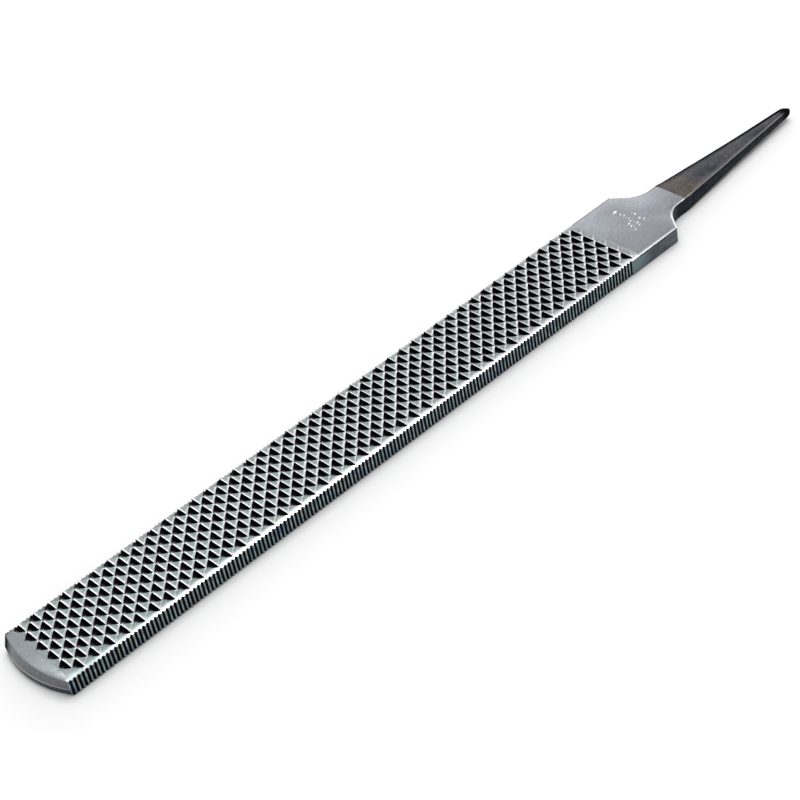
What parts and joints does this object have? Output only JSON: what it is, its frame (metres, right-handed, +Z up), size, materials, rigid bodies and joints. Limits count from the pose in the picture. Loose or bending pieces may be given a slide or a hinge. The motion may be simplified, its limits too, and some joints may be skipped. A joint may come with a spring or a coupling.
{
  "type": "wood rasp",
  "caption": "Flat tanged rasp: rows of punched teeth on one face, file-cut underside, grooved edges, rounded point, smooth heel and a tapered tang for a handle.",
  "frame": {"origin": "bottom centre of the bounding box, on the plane the rasp lies on", "axes": "+Y along the length from the point to the tang, +Z up out of the punched face, +X to the right seen from above with the tang away"},
  "size_m": [0.041, 0.456, 0.0084],
  "materials": {
    "ground_steel": "fine ground satin steel",
    "rasp_face_steel": "bright punched teeth with dark pits",
    "file_face_steel": "cross-cut file teeth",
    "edge_steel": "single-cut edge, blue grey",
    "core_steel": "plain steel, hidden",
    "tang_steel": "dark forge scale, soft tang"
  },
  "bodies": {
    "root": {"point": "ground_steel", "rasp_face": "rasp_face_steel", "blade_core": "core_steel", "file_face": "file_face_steel", "left_edge": "edge_steel", "right_edge": "edge_steel", "heel": "ground_steel", "tang": "tang_steel"}
  },
  "joints": []
}
